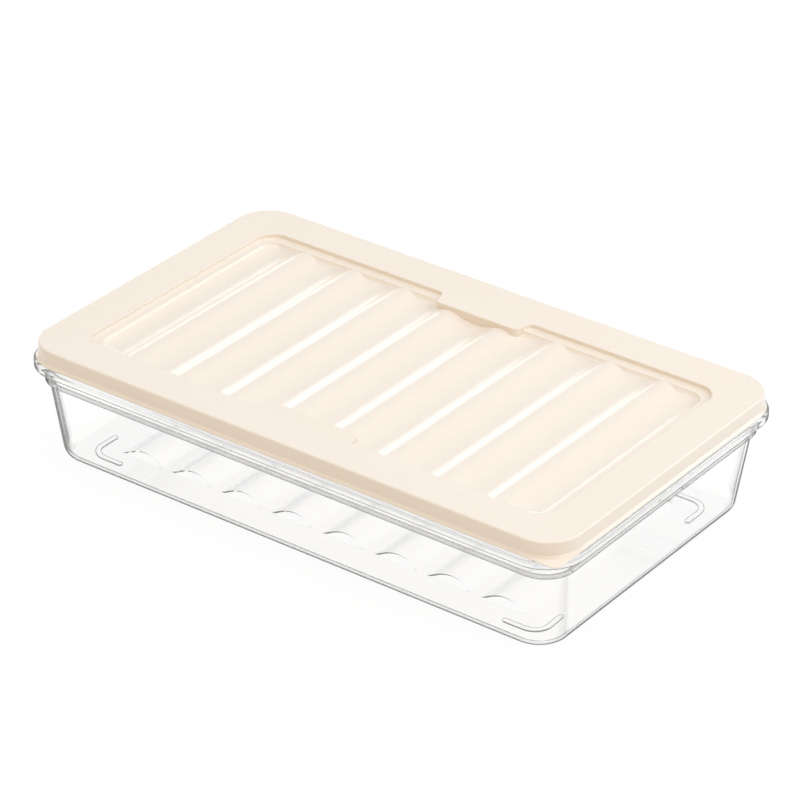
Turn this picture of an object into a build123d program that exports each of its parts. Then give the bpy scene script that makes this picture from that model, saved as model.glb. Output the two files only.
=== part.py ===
from build123d import *
import os
from math import atan, sin

# Food storage box: a clear moulded box under an opaque lid that presses over its rim.
# Millimetres, +X along the length, +Y across, +Z up, front at -Y.
# The origin is under the middle of the box, on the plane that its feet rest on.

os.makedirs("parts", exist_ok=True)

# Rim of the box, the largest outline of the object
rim_length = 300.0
rim_width = 182.5
rim_radius = 20.4
rim_height = 53.5

# Flange that runs round the rim and turns down at its edge
flange_drop = 4.2
flange_round = 1.3
flange_edge_round = 0.5

# Walls of the box
box_wall = 1.5
band_inset = 4.9
band_height = 11.6
band_round = 1.8
shoulder_round = 0.6
wall_top_inset = 6.9
wall_foot_inset = 10.5
wall_foot_radius = 16.6
floor_round = 6.1

# Upstand that the lid's skirt closes over
upstand_height = 5.9
upstand_round = 0.5

# Wave that the lid's panel and the box's floor share, so that stacked boxes nest
wave_pitch = 29.05
ridge_count = 8

# Hollow ridges moulded into the floor
ridge_rise = 2.8
ridge_crest_half = 9.4
ridge_foot_half = 2.8
ridge_length = 119.0
ridge_end_run = 2.4

# Four L-shaped feet under the floor
foot_height = 1.1
foot_width = 2.8
foot_leg = 17.2
foot_bend = 8.0
foot_round = 0.5
foot_setback = 2.4

# Lid: skirt and lip
lid_wall = 1.6
lid_inset = 2.35
skirt_height = 8.25
lid_top_round = 0.9
lip_reach = 1.2
lip_thickness = 0.9
lip_blend = 0.85
lip_round = 0.2
lift_corner_radius = 3.6

# Lid: sealing rib inside the skirt
seal_clearance = 0.3
seal_rib_height = 1.2
seal_rib_round = 0.5
seal_rib_rise = 2.6

# Lid: border and sunken panel
border_width = 19.35
border_fall = 1.0
border_flat = 0.3
recess_radius = 10.2
recess_step = 2.15
recess_foot_round = 0.6
panel_inset = 3.95
panel_radius = 7.7
scoop_radius = 5.1

# Lid: flutes of the panel
flute_depth = 2.65
flute_valley_half = 9.4
crest_drop = 0.1
scoop_drop = 0.05

# Lid: finger tabs at the middle of the long sides
tab_depth = 9.3
tab_root_half = 25.0
tab_tip_half = 22.6
tab_root_round = 3.0
tab_tip_round = 2.5

# Two points nearer than this are one point
same_place = 0.01

# Heights that follow from these sizes
floor_z = foot_height
rim_z = rim_height
shoulder_z = rim_z - band_height
flange_z = rim_z - flange_drop
upstand_z = rim_z + upstand_height
lid_top_z = rim_z + skirt_height
recess_edge_z = lid_top_z - border_fall
ledge_z = recess_edge_z - recess_step
valley_z = ledge_z - crest_drop - flute_depth
panel_floor_z = valley_z - scoop_drop

# Plan sizes that follow from these sizes
recess_half_x = rim_length / 2 - lid_inset - border_width
recess_half_y = rim_width / 2 - lid_inset - border_width
panel_half_x = recess_half_x - panel_inset
panel_half_y = recess_half_y - panel_inset
foot_x = recess_half_x - foot_setback
foot_y = recess_half_y - foot_setback
flute_crest_half = wave_pitch / 2 - flute_valley_half
lip_inset = lid_inset - lip_reach
lip_half_x = rim_length / 2 - lip_inset
lip_half_y = rim_width / 2 - lip_inset
seal_rib_reach = band_inset - lid_inset - lid_wall - seal_clearance


def rim_outline(inset, mode=Mode.ADD):
    """Draws the rim's rounded rectangle, drawn in by the inset."""
    length = rim_length - 2 * inset
    width = rim_width - 2 * inset
    RectangleRounded(length, width, rim_radius - inset, mode=mode)


def wall_outline(z, inset):
    """Draws the drafted wall's section at height z, drawn in by the inset."""
    share = (z - floor_z) / (shoulder_z - floor_z)
    draw_in = wall_foot_inset + (wall_top_inset - wall_foot_inset) * share
    top_radius = rim_radius - wall_top_inset
    radius = wall_foot_radius + (top_radius - wall_foot_radius) * share
    length = rim_length - 2 * (draw_in + inset)
    width = rim_width - 2 * (draw_in + inset)
    RectangleRounded(length, width, radius - inset)


def crest_line(count, crest_half, foot_half, base_z, rise):
    """Draws a line of equal crests along X, with tangent arcs, and returns its two ends."""
    turn_z = base_z + rise * foot_half / (crest_half + foot_half)
    reach = crest_half + foot_half
    first = -wave_pitch * (count - 1) / 2
    for number in range(count):
        middle = first + number * wave_pitch
        TangentArc((middle - reach, base_z), (middle - crest_half, turn_z), tangent=(1, 0))
        ThreePointArc(
            (middle - crest_half, turn_z), (middle, base_z + rise), (middle + crest_half, turn_z)
        )
        TangentArc((middle + reach, base_z), (middle + crest_half, turn_z), tangent=(-1, 0))
        if number < count - 1 and wave_pitch > 2 * reach + same_place:
            Line((middle + reach, base_z), (middle + wave_pitch - reach, base_z))
    return (first - reach, base_z), (-first + reach, base_z)


def lean(rise, half):
    """Sine of the steepest slope of two tangent arcs that climb the rise over the half width."""
    return sin(2 * atan(rise / half))


def ridge_side(base_z, half_length):
    """Draws the ridges' side view, whose ends slope."""
    Polyline(
        (half_length, base_z - box_wall),
        (half_length, base_z),
        (half_length - ridge_end_run, base_z + ridge_rise),
        (ridge_end_run - half_length, base_z + ridge_rise),
        (-half_length, base_z),
        (-half_length, base_z - box_wall),
        close=True,
    )


def corners_at(plan, half_x):
    """Corners of a plan sketch that lie that far from its middle along X."""
    return plan.vertices().filter_by(lambda corner: abs(abs(corner.X) - half_x) < same_place)


# Space inside the box
with BuildPart() as box_hollow:
    with BuildSketch(Plane.XY.offset(floor_z + box_wall)):
        wall_outline(floor_z + box_wall, box_wall)
    with BuildSketch(Plane.XY.offset(shoulder_z + 2 * box_wall)):
        wall_outline(shoulder_z + 2 * box_wall, box_wall)
    loft(ruled=True)
    fillet(box_hollow.faces().sort_by(Axis.Z)[0].edges(), floor_round - box_wall)
    with BuildSketch(Plane.XY.offset(shoulder_z + box_wall)):
        rim_outline(band_inset + box_wall)
    extrude(amount=upstand_z - shoulder_z)
    shoulder = box_hollow.faces().filter_by(Axis.Z).group_by(Axis.Z)[1].face()
    fillet(shoulder.outer_wire().edges(), band_round - box_wall)
    shoulder = box_hollow.faces().filter_by(Axis.Z).group_by(Axis.Z)[1].face()
    fillet(shoulder.inner_wires()[0].edges(), shoulder_round)

# Hollow ridges of the floor: their outside, then the space under them
ridge_lean = lean(ridge_rise, ridge_crest_half + ridge_foot_half)
with BuildPart() as ridge_skin:
    with BuildSketch(Plane.XZ):
        with BuildLine():
            start, end = crest_line(
                ridge_count, ridge_crest_half, ridge_foot_half, floor_z + box_wall, ridge_rise
            )
            Polyline(end, (end[0], floor_z), (start[0], floor_z), start)
        make_face()
    extrude(amount=ridge_length / 2, both=True)
    with BuildSketch(Plane.YZ):
        with BuildLine():
            ridge_side(floor_z + box_wall, ridge_length / 2)
        make_face()
    extrude(amount=rim_length / 2, both=True, mode=Mode.INTERSECT)
with BuildPart() as ridge_space:
    with BuildSketch(Plane.XZ):
        with BuildLine():
            start, end = crest_line(
                ridge_count,
                ridge_crest_half - box_wall * ridge_lean,
                ridge_foot_half + box_wall * ridge_lean,
                floor_z,
                ridge_rise,
            )
            Polyline(end, (end[0], floor_z - box_wall), (start[0], floor_z - box_wall), start)
        make_face()
    extrude(amount=ridge_length / 2 - box_wall, both=True)
    with BuildSketch(Plane.YZ):
        with BuildLine():
            ridge_side(floor_z, ridge_length / 2 - box_wall)
        make_face()
    extrude(amount=rim_length / 2, both=True, mode=Mode.INTERSECT)

# Clear box
with BuildPart() as box:
    # Flange with its turned-down edge
    with BuildSketch(Plane.XY.offset(flange_z)):
        rim_outline(0)
    extrude(amount=flange_drop)
    fillet(box.faces().sort_by(Axis.Z)[-1].edges(), flange_round)
    with BuildSketch(Plane.XY.offset(flange_z)):
        rim_outline(box_wall)
    extrude(amount=flange_drop - box_wall, mode=Mode.SUBTRACT)
    fillet(box.faces().sort_by(Axis.Z)[0].edges(), flange_edge_round)
    # Band below the flange and upstand above it, in one run
    with BuildSketch(Plane.XY.offset(shoulder_z)):
        rim_outline(band_inset)
    extrude(amount=upstand_z - shoulder_z)
    fillet(box.faces().sort_by(Axis.Z)[0].edges(), band_round)
    # Drafted wall and floor
    with BuildSketch(Plane.XY.offset(floor_z)):
        wall_outline(floor_z, 0)
    with BuildSketch(Plane.XY.offset(shoulder_z + box_wall)):
        wall_outline(shoulder_z + box_wall, 0)
    loft(ruled=True)
    fillet(box.faces().sort_by(Axis.Z)[0].edges(), floor_round)
    # Hollow it out, and mould in the ridges
    add(box_hollow.part, mode=Mode.SUBTRACT)
    fillet(box.faces().sort_by(Axis.Z)[-1].edges(), upstand_round)
    add(ridge_skin.part)
    add(ridge_space.part, mode=Mode.SUBTRACT)
    # L-shaped feet
    for side_x in (1, -1):
        for side_y in (1, -1):
            with BuildSketch(Plane.XY.offset(foot_height)):
                with BuildLine():
                    FilletPolyline(
                        (side_x * (foot_x - foot_leg), side_y * foot_y),
                        (side_x * foot_x, side_y * foot_y),
                        (side_x * foot_x, side_y * (foot_y - foot_leg)),
                        radius=foot_bend,
                    )
                    offset(amount=foot_width / 2)
                make_face()
            extrude(amount=-foot_height)
    fillet(box.faces().filter_by(Axis.Z).group_by(Axis.Z)[0].edges(), foot_round)
box.part.label = "box"
export_step(box.part, "parts/box.step")


# Edge of the lid's recess in plan, which steps round the two finger tabs
tab_tip_y = recess_half_y - tab_depth
with BuildSketch() as recess_plan:
    Rectangle(2 * recess_half_x, 2 * recess_half_y)
    for side in (1, -1):
        Polygon(
            (-tab_root_half, side * recess_half_y),
            (-tab_tip_half, side * tab_tip_y),
            (tab_tip_half, side * tab_tip_y),
            (tab_root_half, side * recess_half_y),
            align=None,
            mode=Mode.SUBTRACT,
        )
    fillet(corners_at(recess_plan, recess_half_x), recess_radius)
    fillet(corners_at(recess_plan, tab_tip_half), tab_tip_round)
    fillet(corners_at(recess_plan, tab_root_half), tab_root_round)
with BuildSketch() as recess_plan_grown:
    add(recess_plan.sketch)
    offset(amount=lid_wall)

# Space over the lid's border, which falls gently towards the panel
with BuildPart() as border_space:
    with BuildSketch(Plane.XY.offset(recess_edge_z)):
        RectangleRounded(2 * recess_half_x, 2 * recess_half_y, recess_radius)
    with BuildSketch(Plane.XY.offset(lid_top_z)):
        rim_outline(lid_inset + lid_top_round + border_flat)
    loft(ruled=True)

# Space over the ledge round the panel
with BuildPart() as recess_space:
    with BuildSketch(Plane.XY.offset(ledge_z)):
        add(recess_plan.sketch)
    extrude(amount=lid_top_z - ledge_z)
    fillet(recess_space.faces().sort_by(Axis.Z)[0].edges(), recess_foot_round)

# Space of the flutes, which end in scoops
with BuildPart() as flute_space:
    with BuildSketch(Plane.XY.offset(panel_floor_z)):
        RectangleRounded(2 * panel_half_x, 2 * panel_half_y, panel_radius)
    extrude(amount=lid_top_z - panel_floor_z)
    fillet(flute_space.faces().sort_by(Axis.Z)[0].edges(), scoop_radius)
    with BuildSketch(Plane.XZ):
        with BuildLine():
            start, end = crest_line(
                ridge_count + 2, flute_crest_half, flute_valley_half, valley_z, flute_depth
            )
            Polyline(end, (end[0], lid_top_z), (start[0], lid_top_z), start)
        make_face()
    extrude(amount=panel_half_y + panel_inset, both=True, mode=Mode.INTERSECT)
    with BuildSketch(Plane.XY.offset(panel_floor_z)):
        add(recess_plan.sketch)
    extrude(amount=lid_top_z - panel_floor_z, mode=Mode.INTERSECT)

# Shell of the panel, one wall thicker than those spaces on its underside
flute_lean = lean(flute_depth, wave_pitch / 2)
panel_under_z = panel_floor_z - lid_wall
panel_seat_z = recess_edge_z - lid_wall / 2
with BuildPart() as panel_shell:
    with BuildSketch(Plane.XY.offset(panel_under_z)):
        RectangleRounded(
            2 * (panel_half_x + lid_wall), 2 * (panel_half_y + lid_wall), panel_radius + lid_wall
        )
    extrude(amount=lid_top_z - panel_under_z)
    fillet(panel_shell.faces().sort_by(Axis.Z)[0].edges(), scoop_radius + lid_wall)
    with BuildSketch(Plane.XZ):
        with BuildLine():
            start, end = crest_line(
                ridge_count + 2,
                flute_crest_half - lid_wall * flute_lean,
                flute_valley_half + lid_wall * flute_lean,
                valley_z - lid_wall,
                flute_depth,
            )
            Polyline(end, (end[0], panel_seat_z), (start[0], panel_seat_z), start)
        make_face()
    extrude(amount=rim_width, both=True, mode=Mode.INTERSECT)
    with BuildSketch(Plane.XY.offset(ledge_z - lid_wall)):
        Rectangle(2 * (recess_half_x + lid_wall), 2 * (recess_half_y + lid_wall))
    extrude(amount=panel_seat_z - ledge_z + lid_wall)
    with BuildSketch(Plane.XY.offset(panel_under_z)):
        add(recess_plan_grown.sketch)
    extrude(amount=lid_top_z - panel_under_z, mode=Mode.INTERSECT)

# Space under the border, inside the skirt
with BuildPart() as skirt_space:
    with BuildSketch(Plane.XY.offset(rim_z)):
        rim_outline(lid_inset + lid_wall)
    extrude(amount=skirt_height - lid_wall)
    with BuildSketch(Plane.XY.offset(recess_edge_z - lid_wall)):
        RectangleRounded(2 * recess_half_x, 2 * recess_half_y, recess_radius)
    with BuildSketch(Plane.XY.offset(lid_top_z - lid_wall + border_fall)):
        rim_outline(lid_inset - border_width)
    loft(ruled=True, mode=Mode.SUBTRACT)

# Rib inside the skirt that presses on the upstand
with BuildPart() as seal_rib:
    with BuildSketch(Plane.XY.offset(rim_z + seal_rib_rise)):
        rim_outline(lid_inset + lid_wall / 2)
        rim_outline(lid_inset + lid_wall + seal_rib_reach, mode=Mode.SUBTRACT)
    extrude(amount=seal_rib_height)
    for rib_face in (seal_rib.faces().sort_by(Axis.Z)[0], seal_rib.faces().sort_by(Axis.Z)[-1]):
        fillet(rib_face.inner_wires()[0].edges(), seal_rib_round)

# Opaque lid
with BuildPart() as lid:
    # Lip that rests on the flange, with its lift corner
    with BuildSketch(Plane.XY.offset(rim_z)) as lip_plan:
        rim_outline(lip_inset)
        with Locations((lip_half_x - rim_radius / 2, rim_radius / 2 - lip_half_y)):
            Rectangle(rim_radius, rim_radius)
        lift_corner = lip_plan.vertices().sort_by(lambda v: v.X - v.Y)[-1]
        fillet(lift_corner, lift_corner_radius)
    extrude(amount=lip_thickness)
    fillet(lid.faces().sort_by(Axis.Z)[-1].edges(), lip_round)
    fillet(lid.faces().sort_by(Axis.Z)[0].edges(), lip_round)
    # Skirt and border, blended into the lip
    with BuildSketch(Plane.XY.offset(rim_z)):
        rim_outline(lid_inset)
    extrude(amount=skirt_height)
    fillet(lid.faces().sort_by(Axis.Z)[-1].edges(), lid_top_round)
    lip_face = lid.faces().filter_by(Axis.Z).group_by(Axis.Z)[1].face()
    fillet(lip_face.inner_wires()[0].edges(), lip_blend)
    # Hollow underside with the sealing rib
    add(skirt_space.part, mode=Mode.SUBTRACT)
    add(seal_rib.part)
    # Sunken panel
    add(panel_shell.part)
    add(border_space.part, mode=Mode.SUBTRACT)
    add(recess_space.part, mode=Mode.SUBTRACT)
    add(flute_space.part, mode=Mode.SUBTRACT)
lid.part.label = "lid"
export_step(lid.part, "parts/lid.step")
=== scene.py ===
# %% [markdown]
# A low food storage box: a clear moulded box under an opaque cream lid. The imported CAD model gives both
# pieces at their real size and place. This lesson models them again as a moulder would draw them, gives
# them the finishes of moulded plastic and sets them in a white studio, seen as the photograph sees them.
# Blender counts in metres here, with +Z up and the front of the box at -Y. The first cell loads the CAD
# model as a fixed frame and keeps its bounds, which give the sizes of the rim and the lid.

import math

import bmesh
import bpy
from mathutils import Matrix, Vector


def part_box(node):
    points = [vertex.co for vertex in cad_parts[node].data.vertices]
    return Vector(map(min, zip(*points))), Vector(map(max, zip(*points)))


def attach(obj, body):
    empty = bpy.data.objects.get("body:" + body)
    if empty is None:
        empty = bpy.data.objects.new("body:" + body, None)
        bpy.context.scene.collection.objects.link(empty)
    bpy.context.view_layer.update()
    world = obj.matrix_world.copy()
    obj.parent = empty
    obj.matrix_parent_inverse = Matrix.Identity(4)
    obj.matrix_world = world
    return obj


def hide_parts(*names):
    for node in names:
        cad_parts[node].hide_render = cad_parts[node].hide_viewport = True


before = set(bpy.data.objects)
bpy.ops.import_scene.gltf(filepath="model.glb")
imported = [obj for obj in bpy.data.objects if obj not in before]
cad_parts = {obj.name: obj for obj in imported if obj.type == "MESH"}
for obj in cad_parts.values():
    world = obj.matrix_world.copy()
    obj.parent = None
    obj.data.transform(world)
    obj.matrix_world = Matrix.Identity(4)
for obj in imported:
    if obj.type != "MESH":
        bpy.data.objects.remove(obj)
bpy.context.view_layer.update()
box_low, box_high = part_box("box")
lid_low, lid_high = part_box("lid")
print("box alone:", [round(1000 * length, 1) for length in box_high - box_low])

# %% [markdown]
# The camera stands where the photographer stood: to the front right, looking down about 30 degrees, a long
# way back with a long lens, so that the box's far side is hardly smaller than its near side. Its place is
# written as the direction from the lid's middle back to the camera, a distance, and a small turn of the
# camera about its own axis. The aim point lies a little under the lid's middle, as the picture is framed.

# %% Set the camera
VIEW_AZIMUTH = math.radians(35.87)
VIEW_ELEVATION = math.radians(29.74)
VIEW_ROLL = math.radians(0.94)
VIEW_DISTANCE = 1.7613
AIM_RIGHT = 0.00104
AIM_UP = -0.01646
SENSOR_WIDTH = 36.0
LENS = 175.2


def camera_axes(azimuth, elevation, roll):
    """Level right and up, then right, up and back of a camera that looks at the origin, turned by roll."""
    level = math.cos(elevation)
    back = Vector((math.sin(azimuth) * level, -math.cos(azimuth) * level, math.sin(elevation)))
    level_right = Vector((math.cos(azimuth), math.sin(azimuth), 0))
    level_up = back.cross(level_right)
    right = math.cos(roll) * level_right + math.sin(roll) * level_up
    up = math.cos(roll) * level_up - math.sin(roll) * level_right
    return level_right, level_up, right, up, back


level_right, level_up, cam_right, cam_up, cam_back = camera_axes(VIEW_AZIMUTH, VIEW_ELEVATION, VIEW_ROLL)
lid_middle = Vector((0, 0, lid_high.z))
cam_place = lid_middle + cam_back * VIEW_DISTANCE + level_right * AIM_RIGHT + level_up * AIM_UP
cam_data = bpy.data.cameras.new("camera")
cam_data.sensor_width = SENSOR_WIDTH
cam_data.lens = LENS
camera = bpy.data.objects.new("camera", cam_data)
bpy.context.scene.collection.objects.link(camera)
turn = Matrix((cam_right, cam_up, cam_back)).transposed().to_4x4()
camera.matrix_world = Matrix.Translation(cam_place) @ turn
bpy.context.scene.camera = camera
print("camera at", [round(part, 3) for part in cam_place])

# %% [markdown]
# Both pieces are thin shells that follow a rounded rectangle all the way round. So the main tool here is a
# walk: one flat face in that shape is inset again and again, each time a little inward and a little up or
# down, and every step leaves a ring of faces behind. The steps come from a profile, a list of corners as a
# moulder would draw them, each with its own rounding. Compared with bevelling a finished block, this keeps
# the rings clean and even, which matters most in clear plastic, where every ripple shows.

# %% Helpers for picking
MM = 0.001
NEAR = 0.01 * MM
MERGE = 0.001 * MM
LEVEL_NORMAL = 0.9


def edited():
    """The mesh that is being edited, with its indices in order."""
    mesh = bmesh.from_edit_mesh(bpy.context.edit_object.data)
    for elements in (mesh.verts, mesh.edges, mesh.faces):
        elements.index_update()
        elements.ensure_lookup_table()
    return mesh


def pick(kind, test):
    """Selects just those vertices, edges or faces that pass the test."""
    bpy.ops.mesh.select_mode(type=kind)
    bpy.ops.mesh.select_all(action="DESELECT")
    mesh = edited()
    for element in {"VERT": mesh.verts, "EDGE": mesh.edges, "FACE": mesh.faces}[kind]:
        if test(element):
            element.select_set(True)
    mesh.select_flush_mode()
    bmesh.update_edit_mesh(bpy.context.edit_object.data)


def every(element):
    """A test that any vertex, edge or face passes."""
    return True


def looks_up(face):
    """A test for level faces that look up."""
    return face.normal.z > LEVEL_NORMAL


def looks_down(face):
    """A test for level faces that look down."""
    return face.normal.z < -LEVEL_NORMAL


print("points count as the same place within", round(NEAR / MM, 2), "mm")

# %% Helpers for starting a piece
CORNER_STEPS = 16


def start_plan(name, half_x, half_y, height):
    """Starts a piece, in edit mode, as one flat rectangle."""
    bpy.ops.object.select_all(action="DESELECT")
    bpy.ops.mesh.primitive_plane_add(size=2, location=(0, 0, 0))
    piece = bpy.context.object
    piece.name = name
    bpy.ops.object.mode_set(mode="EDIT")
    bpy.ops.transform.resize(value=(half_x, half_y, 1))
    bpy.ops.transform.translate(value=(0, 0, height))
    return piece


def round_corners(test, radius, reach=None, segments=CORNER_STEPS):
    """Rounds the picked points of a flat outline. The reach is how far the arc goes along each edge."""
    pick("VERT", test)
    bpy.ops.mesh.bevel(offset=reach or radius, segments=segments, affect="VERTICES", clamp_overlap=False)


def extrude_up(rise):
    """Extrudes what is selected straight up, or down where the rise is negative."""
    bpy.ops.mesh.extrude_region_move(TRANSFORM_OT_translate={"value": (0, 0, rise)})


print("a corner of a plan has", CORNER_STEPS, "flats")

# %% Helpers for walking a profile
FEWEST_FLATS = 4
RADIUS_PER_FLAT = 0.8 * MM
SAME_POINT = 0.0001 * MM


def arc_steps(radius):
    """Number of flats in a quarter round, more for a larger one."""
    return FEWEST_FLATS + int(radius / RADIUS_PER_FLAT)


def profile(corners):
    """Points (inset, height) along a profile whose corners (inset, height, radius) are rounded."""
    points = []
    for number, (inset, height, radius) in enumerate(corners):
        here = Vector((inset, height))
        arc = [here]
        if radius:
            before = (Vector(corners[number - 1][:2]) - here).normalized()
            after = (Vector(corners[number + 1][:2]) - here).normalized()
            half = before.angle(after) / 2
            middle = here + (before + after).normalized() * radius / math.sin(half)
            first = here + before * radius / math.tan(half) - middle
            last = here + after * radius / math.tan(half) - middle
            steps = arc_steps(radius)
            arc = [middle + radius * first.slerp(last, step / steps) for step in range(steps + 1)]
        points += [point for point in arc if not points or (point - points[-1]).length > SAME_POINT]
    return points


def walk(points):
    """Insets the selected flat face from one profile point to the next."""
    face = next(face for face in edited().faces if face.select)
    facing = 1 if face.normal.z > 0 else -1
    for here, there in zip(points, points[1:]):
        inward, upward = there - here
        bpy.ops.mesh.inset(thickness=inward, depth=facing * upward, use_even_offset=True)


print("a round of 1 mm has", len(profile([(0, 0, 0), (0, MM, MM), (MM, MM, 0)])), "points")

# %% [markdown]
# An inset keeps the middle of every corner arc where it is, so the arc's radius can only shrink on the way
# in. A mould is freer than that: its corners may be wider at the foot than at the rim. Moving each point by
# a formula would do it, but one scaling does the same. All points of a corner are scaled about the sharp
# corner that the arc cuts off, which gives the arc its new radius and leaves the straight sides alone.

# %% Helper for corners of another radius
ALL_CORNERS = ((1, 1), (-1, 1), (-1, -1), (1, -1))


def reshape_corners(half_x, half_y, old, new, inward=0.0, corners=ALL_CORNERS):
    """Gives corners of the selected face a new radius, by scaling each about the sharp corner it cuts off."""
    face = next(face for face in edited().faces if face.select)
    kept = face.index
    ring = [(vertex.index, vertex.co.copy()) for vertex in face.verts]
    for side_x, side_y in corners:
        arc = {index for index, place in ring if place.x * side_x > 0 and place.y * side_y > 0}
        pick("VERT", lambda vertex: vertex.index in arc)
        sharp = (side_x * half_x, side_y * half_y, 0)
        bpy.ops.transform.resize(value=(new / old, new / old, 1), center_override=sharp)
        bpy.ops.transform.translate(value=(-side_x * inward, -side_y * inward, 0))
    pick("FACE", lambda face: face.index == kept)


print("corners that can be reshaped:", len(ALL_CORNERS))

# %% [markdown]
# The clear box starts at the widest place, the outer face of its rim flange. From that band one walk goes
# up, over the flange, up the thin upstand that the lid closes over, and down inside to the floor. Another
# goes under, round the flange's turned-down edge, down the band and the drafted wall, and under the floor.
# Each walk is written as the corners of its profile, so the wall between the two is 1.5 mm all along. The
# wall leans in by its draft, which lets the box out of its mould, and its corners widen towards the foot.

# %% Box: levels and lean of the wall
RIM_RADIUS = 20.4 * MM
WALL = 1.5 * MM
FLANGE_DROP = 4.2 * MM
BAND_HEIGHT = 12.1 * MM
WALL_TOP_INSET = 6.9 * MM
WALL_FOOT_INSET = 10.5 * MM
WALL_FOOT_RADIUS = 16.6 * MM
FOOT_HEIGHT = 1.1 * MM

rim_half_x, rim_half_y = box_high.x, box_high.y
rim_z = lid_low.z
upstand_z = box_high.z
shoulder_z = rim_z - BAND_HEIGHT
flange_z = rim_z - FLANGE_DROP
floor_z = FOOT_HEIGHT
draft = (WALL_FOOT_INSET - WALL_TOP_INSET) / (shoulder_z - floor_z)


def drafted(height, more=0.0):
    """How far in the drafted wall lies at a height."""
    return WALL_FOOT_INSET - draft * (height - floor_z) + more


def corner_of_wall(height, more=0.0):
    """Corner radius of the drafted wall at a height, larger towards the foot."""
    top_radius = RIM_RADIUS - WALL_TOP_INSET
    share = (height - floor_z) / (shoulder_z - floor_z)
    return WALL_FOOT_RADIUS + (top_radius - WALL_FOOT_RADIUS) * share - more


print("the wall leans in by", round(math.degrees(math.atan(draft)), 1), "degrees")

# %% Box: flange, upstand and inside
BAND_INSET = 4.9 * MM
FLANGE_ROUND = 1.3 * MM
FLANGE_EDGE_ROUND = 0.5 * MM
UPSTAND_ROUND = 0.5 * MM
INNER_SHOULDER_ROUND = 1.0 * MM
SHOULDER_ROUND = 0.6 * MM
FLOOR_ROUND = 6.1 * MM
FLOOR_FLAT = 20 * MM


def walk_to_foot(points, more=0.0):
    """Walks down the wall, widens its corners there, and walks on under or over the floor."""
    foot = len(points) - 2 - arc_steps(FLOOR_ROUND - more)
    walk(points[: foot + 1])
    inset, height = points[foot]
    natural = RIM_RADIUS - inset
    reshape_corners(rim_half_x - inset, rim_half_y - inset, natural, corner_of_wall(height, more))
    walk(points[foot:-1])


box_piece = start_plan("box_moulding", rim_half_x, rim_half_y, flange_z + FLANGE_EDGE_ROUND)
round_corners(every, RIM_RADIUS)
pick("FACE", every)
extrude_up(FLANGE_DROP - FLANGE_EDGE_ROUND - FLANGE_ROUND)
inside = profile(
    [
        (0, rim_z - FLANGE_ROUND, 0),
        (0, rim_z, FLANGE_ROUND),
        (BAND_INSET, rim_z, 0),
        (BAND_INSET, upstand_z, UPSTAND_ROUND),
        (BAND_INSET + WALL, upstand_z, UPSTAND_ROUND),
        (BAND_INSET + WALL, shoulder_z + WALL, INNER_SHOULDER_ROUND),
        (drafted(shoulder_z + WALL, WALL), shoulder_z + WALL, SHOULDER_ROUND),
        (drafted(floor_z + WALL, WALL), floor_z + WALL, FLOOR_ROUND - WALL),
        (FLOOR_FLAT, floor_z + WALL, 0),
    ]
)
pick("FACE", looks_up)
walk_to_foot(inside, WALL)
print("inside of the box:", len(edited().faces), "faces")

# %% Box: under the flange, band, wall and underside
FLANGE_HOLLOW_ROUND = 0.9 * MM
SHOULDER_EDGE_ROUND = 0.2 * MM

outside = profile(
    [
        (0, flange_z + FLANGE_EDGE_ROUND, 0),
        (0, flange_z, FLANGE_EDGE_ROUND),
        (WALL, flange_z, FLANGE_EDGE_ROUND),
        (WALL, rim_z - WALL, FLANGE_HOLLOW_ROUND),
        (BAND_INSET, rim_z - WALL, FLANGE_HOLLOW_ROUND),
        (BAND_INSET, shoulder_z, SHOULDER_ROUND),
        (WALL_TOP_INSET, shoulder_z, SHOULDER_EDGE_ROUND),
        (WALL_FOOT_INSET, floor_z, FLOOR_ROUND),
        (FLOOR_FLAT, floor_z, 0),
    ]
)
pick("FACE", looks_down)
walk_to_foot(outside)
print("box with its outside:", len(edited().faces), "faces")

# %% [markdown]
# The floor has eight hollow ridges across it, moulded into the sheet, so they show above and below. They
# could be eight bent strips, but one formula for the whole row keeps them equal and smooth where they meet.
# Each side of the floor gets a grid whose columns follow that formula, with the first and last row left
# down on the floor, which makes the sloping ends. The floor's one large face is taken out first.

# %% Box: the row of ridges
WAVE_PITCH = 29.05 * MM
RIDGE_COUNT = 8
RIDGE_RISE = 2.8 * MM
RIDGE_END_RUN = 2.4 * MM
COLUMNS_PER_CREST = 24


def crest_height(x, crest_half, foot_half, rise, pitch, count):
    """Height at x of a row of equal crests: an arc over each crest, and a tangent arc at each foot."""
    nearest = round(x / pitch + (count - 1) / 2)
    nearest = min(max(nearest, 0), count - 1)
    away = abs(x - (nearest - (count - 1) / 2) * pitch)
    reach = crest_half + foot_half
    if away >= reach:
        return 0.0
    run = crest_half if away < crest_half else foot_half
    climb = rise * run / reach
    bend = (run * run + climb * climb) / (2 * climb)
    if away < crest_half:
        return rise - bend + math.sqrt(bend * bend - away * away)
    return bend - math.sqrt(bend * bend - (reach - away) ** 2)


def ridge_sheet(base_z, half_length, crest_half, foot_half):
    """Adds the sheet of ridges on one side of the floor, in edit mode."""
    columns = RIDGE_COUNT * COLUMNS_PER_CREST
    bpy.ops.mesh.primitive_grid_add(x_subdivisions=columns, y_subdivisions=3, size=2)
    bpy.ops.transform.resize(value=(WAVE_PITCH * RIDGE_COUNT / 2, half_length, 1))
    bpy.ops.transform.translate(value=(0, 0, base_z))
    for vertex in edited().verts:
        if vertex.select and abs(vertex.co.y) < half_length / 2:
            rise = crest_height(vertex.co.x, crest_half, foot_half, RIDGE_RISE, WAVE_PITCH, RIDGE_COUNT)
            end = half_length - RIDGE_END_RUN * rise / RIDGE_RISE
            vertex.co.y = math.copysign(end, vertex.co.y)
            vertex.co.z += rise
    bpy.ops.mesh.remove_doubles(threshold=NEAR)


print("ridges stand", round(WAVE_PITCH / MM, 2), "mm apart")

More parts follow.
